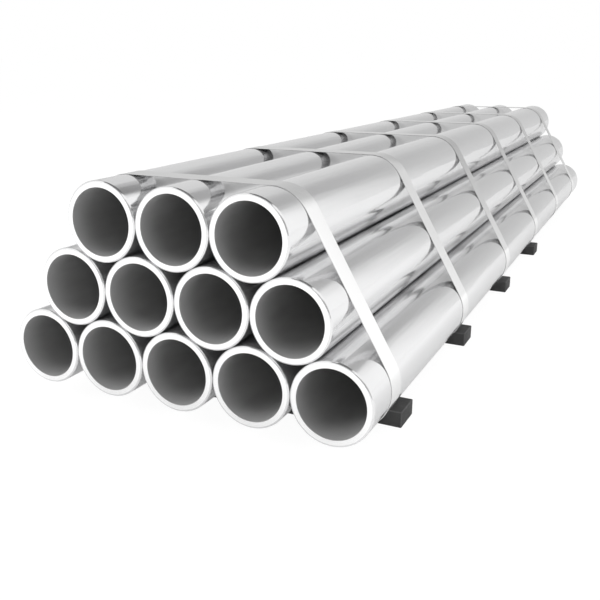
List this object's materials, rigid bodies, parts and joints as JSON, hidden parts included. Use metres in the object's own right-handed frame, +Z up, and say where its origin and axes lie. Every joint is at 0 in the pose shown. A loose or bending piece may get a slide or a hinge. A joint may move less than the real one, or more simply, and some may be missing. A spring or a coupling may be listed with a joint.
{
  "type": "bundle of steel pipes",
  "caption": "Bundle of polished steel pipes, close packed in a trapezoid stack, held by flat steel straps with crimped seals and lying on dark bearers.",
  "frame": {"origin": "bottom centre of the bundle's box, on the floor under the bearers", "axes": "+Y along the pipes from the front ends to the far ends, +X across to the right, +Z up"},
  "size_m": [0.8448, 3.048, 0.4967],
  "materials": {
    "pipe": "polished",
    "strap": "satin",
    "seal": "satin",
    "bearer": "matte"
  },
  "bodies": {
    "root": {"pipe_bottom_1": "pipe", "pipe_bottom_2": "pipe", "pipe_bottom_3": "pipe", "pipe_bottom_4": "pipe", "pipe_bottom_5": "pipe", "pipe_middle_1": "pipe", "pipe_middle_2": "pipe", "pipe_middle_3": "pipe", "pipe_middle_4": "pipe", "pipe_top_1": "pipe", "pipe_top_2": "pipe", "pipe_top_3": "pipe", "strap_1": "strap", "strap_2": "strap", "strap_3": "strap", "strap_4": "strap", "strap_5": "strap", "strap_6": "strap", "seal_1": "seal", "seal_2": "seal", "seal_3": "seal", "seal_4": "seal", "seal_5": "seal", "seal_6": "seal", "bearer_1": "bearer", "bearer_2": "bearer", "bearer_3": "bearer", "bearer_4": "bearer", "bearer_5": "bearer", "bearer_6": "bearer"}
  },
  "joints": []
}
